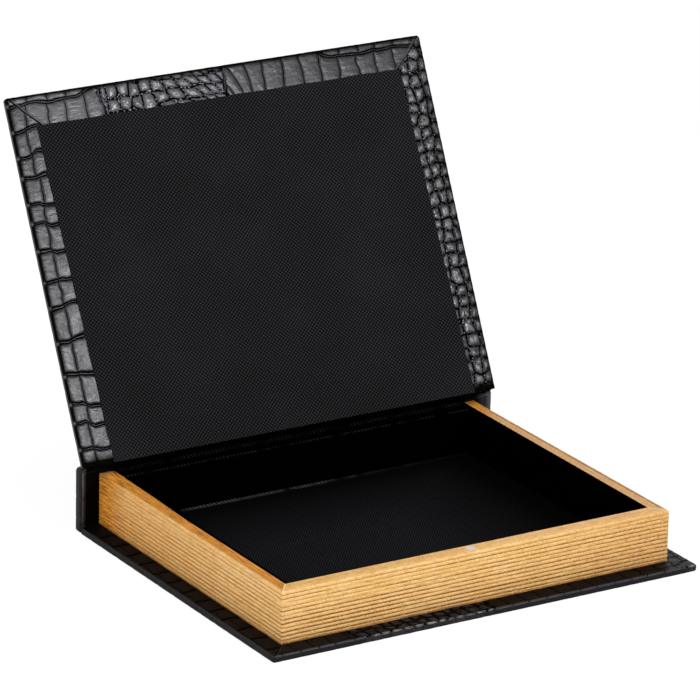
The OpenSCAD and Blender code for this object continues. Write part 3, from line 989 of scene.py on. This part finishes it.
def linings(finish):
    """The lined cards. The side cards' cloth is turned over onto the rim, up to the gilt skin."""
    top, turned, thick, lap = RIM_Z - 0.8, RIM_Z - 0.12, 1, 2.8
    y0, y1 = INNER_FORE_Y - 0.9, REAR_Y - 0.05
    covered_card("fore_lining_card", [((-INNER_X, INNER_FORE_Y - thick, COVER_T),
                                       (INNER_X, INNER_FORE_Y, top))], finish, "fore_lining")
    covered_card("left_lining_card", [
        ((-INNER_X - thick, y0, COVER_T), (-INNER_X, y1, turned)),
        ((-INNER_X - lap, y0, top), (-INNER_X, y1, turned))], finish, "left_lining")
    covered_card("right_lining_card", [
        ((INNER_X, y0, COVER_T), (INNER_X + thick, y1, turned)),
        ((INNER_X, y0, top), (INNER_X + lap, y1, turned))], finish, "right_lining")


def rear_lining(finish):
    """Cloth up the rear wall's inner face, round its edge and over its top."""
    y1, top, turn_r = INNER_REAR_Y, RIM_Z - 0.4, 0.6
    path = [(y1 + 1.0, COVER_T), (y1, COVER_T)]
    path += [(y1, z) for z in (8.0, 14.0, 22.0, 30.0, top - 1.6, top - turn_r)]
    path += [(y1 + turn_r - turn_r * math.cos(math.radians(f)),
              top - turn_r + turn_r * math.sin(math.radians(f))) for f in (22.5, 45, 67.5, 90)]
    path += [(y1 + 2, top), (y1 + 4, top), (y1 + 6, top), (REAR_Y - 0.1, top),
             (REAR_Y - 0.1, top - 0.5)]
    ring = np.array(path)
    piece, _, y, z, _ = strip("rear_lining_cloth", 120, INNER_X, ring)
    # painted highlight along the rear wall's top edge
    note(piece, rub=0.26 * np.exp(-(np.hypot(y - y1 - 0.3, z - top + 0.3) / 0.5) ** 2))
    smooth(piece)
    dress(piece, finish, "case", "rear_lining")
    declare(piece, 2 * INNER_X)


def inner_hinge(finish):
    """Cloth from the rear wall's top up to the lid and over its rear end."""
    half = INNER_X - 0.3
    foot, head = np.array([98.1, 34.6]), up(-0.3, 4.5)
    path = [(94.0, 34.28), (95.2, 34.3), (96.6, 34.3), (97.6, 34.34)]
    path += [foot + (head - foot) * f + np.array([-0.25, 0.12]) * math.sin(math.pi * f)
             for f in (0, 0.25, 0.5, 0.75, 1)]
    path += [up(-0.42, 4.1), up(-0.44, 3.0), up(-0.44, 1.8), up(-0.44, 0.7)]
    ring = np.array(path)
    piece, _, _, z, _ = strip("hinge_cloth_fold", 200, half, ring)
    # painted highlight along the hinge cloth's fold
    note(piece, rub=0.15 * np.exp(-((z - 36.6) / 0.7) ** 2))
    smooth(piece)
    m = piece.modifiers.new("thickness", "SOLIDIFY")
    m.thickness, m.offset = 0.35 * MM, -1.0
    apply(piece, m)
    dress(piece, finish, None, "hinge_cloth")
    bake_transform(piece)
    declare(piece, 2 * half)


def lid_panel(finish):
    """Woven panel, hand cut and glued in a little askew, with a soft edge."""
    left, right, front, lean = 15.7, 18.2, 17.9, 3.8
    width, length = COVER_W - left - right, LID_D - front
    close = [0.0, 0.2, 0.5, 1.0]
    xs = np.array(close + list(np.linspace(3, 237, 90)) + [width - v for v in close[::-1]]) / width
    ss = np.array(close + list(np.linspace(3, length, 70))) / length
    piece, _, i, j = grid("lid_panel_cloth", len(xs) - 1, len(ss) - 1)
    f, g = xs[i], ss[j]
    s = front + g * length
    x = -COVER_W / 2 + left + lean * g + f * width
    rag = rough(x * 0.05, s * 0.05, 9.0)
    to_edge = np.minimum(np.minimum(f, 1 - f) * width, g * length)
    # its sides and its front are cut unevenly
    x += np.where(f < 0.05, 0.35, 0) * rag - np.where(f > 0.95, 0.35, 0) * rag
    s = np.minimum(np.where(g < 0.05, s + 0.3 * rag, s), LID_D)
    rise = PANEL_T * np.clip(to_edge / 0.5, 0, 1) ** 0.5
    put(piece, lid_place(x, s, COVER_T - 0.02 + rise * (0.93 + 0.05 * rag)) * MM)
    turn_faces(piece)
    smooth(piece)
    dress(piece, finish, "lid", "lid_panel")


# ---- hidden pieces
def flecked_surface(t, stretch, size, detail, dark, light, contrast, roughness, change, raised,
                    specular=0.3, metallic=0.0):
    """Bare board, fibre or metal, with flecks or scuffs that may lie one way."""
    fleck = t.cloud(t.times(t.place_mm(), stretch), size, detail, 0.7)
    color = t.mix(fleck.step(0.5 - contrast, 0.5 + contrast), dark, light)
    return t.surface(color, roughness + fleck * change, t.bump(fleck, raised * MM), specular,
                     metallic)


def hidden_pieces():
    for nodes, name, *values in (
            (("back_board", "back_infill", "spine_board", "spine_infill", "lid_board",
              "lid_infill", "floor_card"), "grey board", (1.0, 1.0, 3.0), 1.2, 4.0,
             rgb(128, 122, 110), rgb(158, 150, 134), 0.2, 0.85, -0.1, 0.1),
            (("fore_core", "left_core", "right_core", "rear_wall"), "pressed fibre",
             (1.0, 1.0, 1.0), 1.8, 5.0, rgb(150, 118, 78), rgb(190, 156, 108), 0.2, 0.8, -0.1,
             0.12),
            (("tray_magnet", "lid_plate"), "plated magnet", (1.0, 5.0, 1.0), 1.4, 4.0,
             rgb(176, 168, 164), rgb(244, 238, 238), 0.1, 0.36, 0.25, 0.04, 0.5, 0.45)):
        finish = material(name, flecked_surface, *values)
        for node in nodes:
            give(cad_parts[node], finish)


# ---- studio
def floor_surface(t):
    """Pale, and lit up for the camera so that it meets the background."""
    matt = t.add("ShaderNodeBsdfDiffuse", None, {"Color": (0.86, 0.86, 0.86, 1)})
    glow = t.add("ShaderNodeEmission", None, {"Color": (1, 1, 1, 1), "Strength": 1.08})
    seen = t.add("ShaderNodeLightPath", None, None, "Is Camera Ray")
    return t.add("ShaderNodeMixShader", None, {0: seen * 0.84, 1: matt, 2: glow})


def softbox(name, towards, distance, size, radiance):
    light = bpy.data.lights.new(name, "AREA")
    light.shape, light.size, light.size_y = "RECTANGLE", size[0], size[1]
    light.energy = radiance * math.pi * size[0] * size[1]
    lamp = bpy.data.objects.new(name, light)
    bpy.context.scene.collection.objects.link(lamp)
    way = Vector(towards).normalized()
    lamp.location = way * distance + Vector((0, 0, 0.1))
    lamp.rotation_euler = way.to_track_quat("Z", "Y").to_euler()


def studio():
    scene = bpy.context.scene
    scene.view_settings.view_transform = "Standard"
    world = bpy.data.worlds.new("studio")
    scene.world = world
    t = empty_tree(world)
    rays = t.add("ShaderNodeLightPath").socket.node.outputs
    seen = sum((Wire(t, rays[name]) for name in (
        "Is Camera Ray", "Is Glossy Ray", "Is Transmission Ray")), 0.0)
    dim, white = (t.add("ShaderNodeBackground", None, {"Color": (1, 1, 1, 1), "Strength": s})
                  for s in (0.55, 1.0))
    whole = t.add("ShaderNodeMixShader", None, {0: seen.clip(), 1: dim, 2: white})
    t.add("ShaderNodeOutputWorld", None, {"Surface": whole})

    select_none()
    bpy.ops.mesh.primitive_plane_add(size=6, location=(0, 0, 0))
    floor = bpy.context.object
    floor.name = "studio_floor"
    floor.data.materials.append(material("white floor", floor_surface))

    softbox("front_right", (0.41, -0.80, 0.44), 1.8, (0.5, 0.42), 24.0)
    softbox("left", (-0.92, -0.3, 0.4), 1.8, (0.8, 0.8), 5.5)
    softbox("overhead", (-0.15, 0.1, 1.0), 1.7, (1.2, 1.2), 1.0)


def photograph_camera():
    """The camera that fits the photograph."""
    azimuth, elevation, roll = (math.radians(v) for v in (-31.976, 19.712, 1.3007))
    aim, distance = Vector((-22.872, 4.462, 121.822)) * MM, 2.999875
    back = Vector((math.sin(azimuth) * math.cos(elevation),
                   -math.cos(azimuth) * math.cos(elevation), math.sin(elevation)))
    right = Vector((math.cos(azimuth), math.sin(azimuth), 0))
    above = back.cross(right)
    across = math.cos(roll) * right + math.sin(roll) * above
    over = -math.sin(roll) * right + math.cos(roll) * above
    data = bpy.data.cameras.new("camera")
    data.sensor_width, data.lens, data.clip_end = 36.0, 280.35, 20.0  # mm, mm, m
    camera = bpy.data.objects.new("camera", data)
    bpy.context.scene.collection.objects.link(camera)
    turn = Matrix((across, over, back)).transposed().to_4x4()
    camera.matrix_world = Matrix.Translation(aim + back * distance) @ turn
    bpy.context.scene.camera = camera


photograph_camera()
studio()
leather = material("black embossed leather", leather_surface)
covers(leather)
outer_hinge(leather)
page_edges(material("antique gold with a brown glaze", gilt_surface))
lid_panel(material("dotted lining cloth", dotted_surface))
floor_lining(material("black twill", twill_surface, rgb(1, 1, 1), rgb(46, 46, 49)))
# painted shade: the walls' and hinge's cloth is a near-black copy of the floor's twill
twill_in_shade = material("wall twill in painted shade", twill_surface, rgb(0, 0, 0), rgb(3, 3, 3))
linings(twill_in_shade)
rear_lining(twill_in_shade)
inner_hinge(twill_in_shade)
hidden_pieces()
